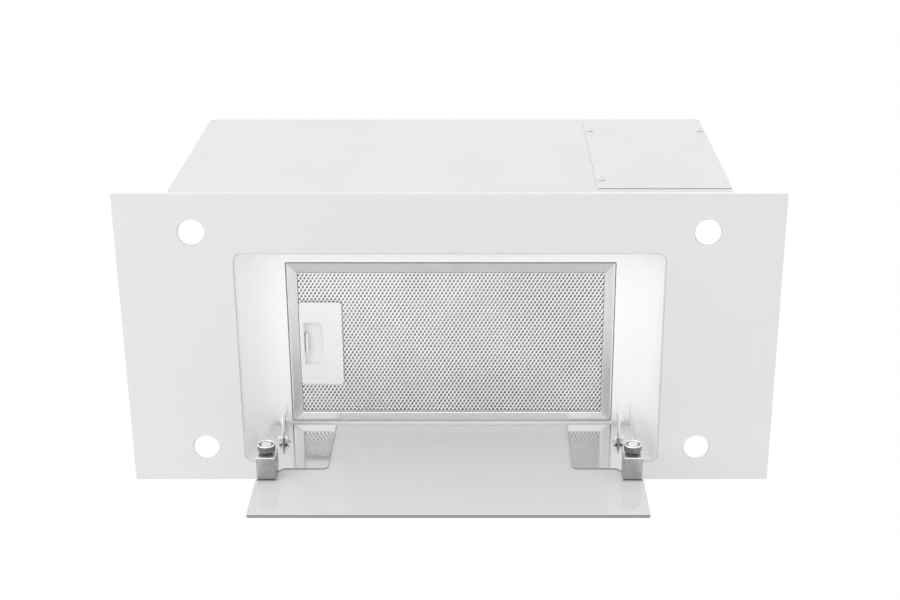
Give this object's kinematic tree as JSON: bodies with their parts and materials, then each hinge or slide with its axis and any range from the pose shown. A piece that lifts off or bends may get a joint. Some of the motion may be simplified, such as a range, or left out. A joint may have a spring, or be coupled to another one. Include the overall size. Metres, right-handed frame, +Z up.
{
  "type": "under cabinet range hood",
  "caption": "Built-in cabinet range hood with a white glass fascia, corner lamps, a hanging glass suction flap, an aluminium grease filter and a top duct collar.",
  "frame": {"origin": "centre of the mounting frame's upper face, the plane that seats against the underside of the cabinet", "axes": "+Z up into the cabinet, +X to the user's right, front of the hood at -Y; stored with the flap hanging open"},
  "size_m": [0.6, 0.285, 0.4686],
  "materials": {
    "white_glass": "back-lacquered white, glossy",
    "white_enamel": "smooth white powder coat",
    "zinc_steel": "zinc plated",
    "polished_steel": "mirror polished",
    "brushed_steel": "satin",
    "aluminium": "satin anodised",
    "lamp_lens": "opal diffuser, lit",
    "white_plastic": "moulded, semi-gloss",
    "grey_plastic": "moulded",
    "black_plastic": "moulded",
    "board_green": "solder mask"
  },
  "bodies": {
    "hood": {"glass_plate": "white_glass", "mounting_frame": "zinc_steel", "housing_shell": "white_enamel", "top_panel": "white_enamel", "electronics_cover": "white_enamel", "cover_screw_1": "brushed_steel", "cover_screw_2": "brushed_steel", "cover_screw_3": "brushed_steel", "filter_tray": "white_enamel", "lamp_lens_front_left": "lamp_lens", "lamp_lens_front_right": "lamp_lens", "lamp_lens_back_left": "lamp_lens", "lamp_lens_back_right": "lamp_lens", "lamp_body_front_left": "aluminium", "lamp_body_front_right": "aluminium", "lamp_body_back_left": "aluminium", "lamp_body_back_right": "aluminium", "hinge_ear_left": "zinc_steel", "hinge_ear_right": "zinc_steel", "pivot_bolt_left": "zinc_steel", "pivot_bolt_right": "zinc_steel", "pivot_nut_left": "zinc_steel", "pivot_nut_right": "zinc_steel", "scroll_half_left": "grey_plastic", "scroll_half_right": "grey_plastic", "fan_motor": "zinc_steel", "motor_bracket": "zinc_steel", "outlet_collar": "black_plastic", "damper_pin": "zinc_steel", "electronics_tray": "white_plastic", "control_board": "board_green", "led_driver": "black_plastic", "motor_capacitor": "grey_plastic", "terminal_block": "white_plastic", "relay": "black_plastic", "cable_gland": "grey_plastic"},
    "flap": {"flap_glass": "white_glass", "flap_bracket_left": "polished_steel", "flap_bracket_right": "polished_steel", "magnet_block_left": "brushed_steel", "magnet_block_right": "brushed_steel", "pot_magnet_left": "polished_steel", "pot_magnet_right": "polished_steel", "hinge_arm_left": "zinc_steel", "hinge_arm_right": "zinc_steel", "clamp_bolt_left": "zinc_steel", "clamp_bolt_right": "zinc_steel", "clamp_nut_left": "zinc_steel", "clamp_nut_right": "zinc_steel"},
    "filter": {"filter_frame": "aluminium", "filter_mesh_front": "aluminium", "filter_core": "aluminium", "filter_mesh_back": "aluminium", "filter_handle": "white_plastic"},
    "latch": {"latch_slider": "white_plastic"},
    "fan_wheel": {"impeller": "black_plastic"},
    "front_damper": {"damper_flap_front": "black_plastic"},
    "rear_damper": {"damper_flap_rear": "black_plastic"}
  },
  "joints": [
    {"name": "flap_hinge", "type": "hinge", "parent": "hood", "child": "flap", "pos_m": [0, 0.0885, 0.0112], "axis": [-1, 0, 0], "range_deg": [0, 90]},
    {"name": "filter_swing", "type": "hinge", "parent": "hood", "child": "filter", "pos_m": [0.153, 0.018, 0.0312], "axis": [0, 1, 0], "range_deg": [-85, 0]},
    {"name": "latch_slide", "type": "slide", "parent": "filter", "child": "latch", "axis": [1, 0, 0], "range_m": [0, 0.004], "stiffness_N_per_m": 400, "springref_m": -0.002},
    {"name": "fan_spin", "type": "hinge", "parent": "hood", "child": "fan_wheel", "pos_m": [0, -0.0275, 0.1596], "axis": [1, 0, 0], "continuous": true},
    {"name": "front_damper_hinge", "type": "hinge", "parent": "hood", "child": "front_damper", "pos_m": [0, 0.03325, 0.2933], "axis": [-1, 0, 0], "range_deg": [0, 75]},
    {"name": "rear_damper_hinge", "type": "hinge", "parent": "hood", "child": "rear_damper", "pos_m": [0, 0.03325, 0.2933], "axis": [1, 0, 0], "range_deg": [0, 75]}
  ]
}
